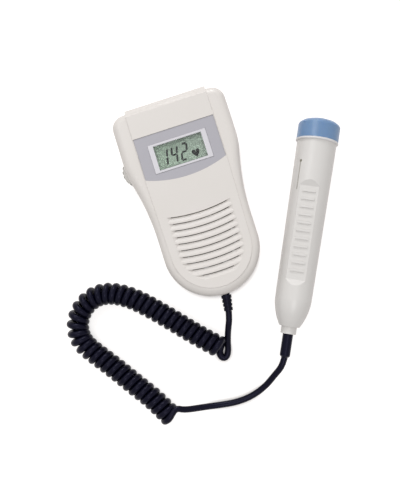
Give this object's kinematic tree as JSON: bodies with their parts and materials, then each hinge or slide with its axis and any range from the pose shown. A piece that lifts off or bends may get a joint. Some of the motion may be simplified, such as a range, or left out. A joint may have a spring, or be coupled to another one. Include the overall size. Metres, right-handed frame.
{
  "type": "fetal doppler",
  "caption": "Handheld fetal heart doppler: display unit with thumbwheel and speaker louvres, and a ribbed probe on a curly cord.",
  "frame": {"origin": "centre of the display unit's flat back face, on the table", "axes": "+Z out of the display, +Y along the unit towards its display end, +X to the right of someone reading the display"},
  "size_m": [0.2224, 0.2151, 0.0292],
  "materials": {
    "ivory_case": "fine satin texture",
    "ivory_probe": "satin, slightly glossy",
    "ivory_ring": "satin",
    "lilac_panel": "satin printed label",
    "silver_frame": "silvery paint, satin",
    "clear_window": "clear, polished",
    "display_glass": "grey-green liquid crystal",
    "contact_rubber": "matte",
    "circuit_board": "glass-fibre laminate, satin",
    "chip_black": "matte",
    "speaker_steel": "pressed sheet",
    "speaker_cone": "matte film",
    "magnet": "plated",
    "grey_wheel": "satin",
    "shaft_metal": "turned",
    "battery_jacket": "printed jacket, gloss",
    "contact_metal": "nickel plated",
    "screw_steel": "zinc plated",
    "cord_black": "blue-black, satin",
    "blue_cap": "translucent blue, satin",
    "seal_rubber": "matte",
    "crystal": "silvered ceramic",
    "absorber": "matte"
  },
  "bodies": {
    "unit": {"front_shell": "ivory_case", "rear_shell": "ivory_case", "display_panel": "lilac_panel", "display_frame": "silver_frame", "display_window": "clear_window", "display_glass": "display_glass", "contact_strips": "contact_rubber", "main_board": "circuit_board", "board_chips": "chip_black", "speaker_basket": "speaker_steel", "speaker_cone": "speaker_cone", "speaker_magnet": "magnet", "volume_control": "chip_black", "headphone_socket": "chip_black", "battery_left": "battery_jacket", "battery_right": "battery_jacket", "battery_contacts": "contact_metal", "battery_springs": "contact_metal", "case_screws": "screw_steel", "unit_relief": "cord_black", "cord_unit_lead": "cord_black", "cord_coil": "cord_black", "cord_probe_lead": "cord_black"},
    "volume_wheel": {"volume_wheel": "grey_wheel", "volume_shaft": "shaft_metal"},
    "battery_door": {"battery_door": "ivory_case"},
    "probe": {"probe_housing": "ivory_probe", "probe_cap": "blue_cap", "cap_ring": "ivory_ring", "cap_seal": "seal_rubber", "transducer_discs": "crystal", "transducer_backing": "absorber", "probe_board": "circuit_board", "probe_amplifier": "chip_black", "probe_relief": "cord_black"}
  },
  "joints": [
    {"name": "volume_turn", "type": "hinge", "parent": "unit", "child": "volume_wheel", "pos_m": [-0.0321, 0.0301, 0], "axis": [0, 0, 1], "range_deg": [-135, 135]},
    {"name": "door_slide", "type": "slide", "parent": "unit", "child": "battery_door", "axis": [0, -1, 0], "range_m": [0, 0.009]},
    {"name": "probe_lift", "type": "slide", "parent": "unit", "child": "probe", "axis": [0, 0, 1], "range_m": [0, 0.035]}
  ]
}
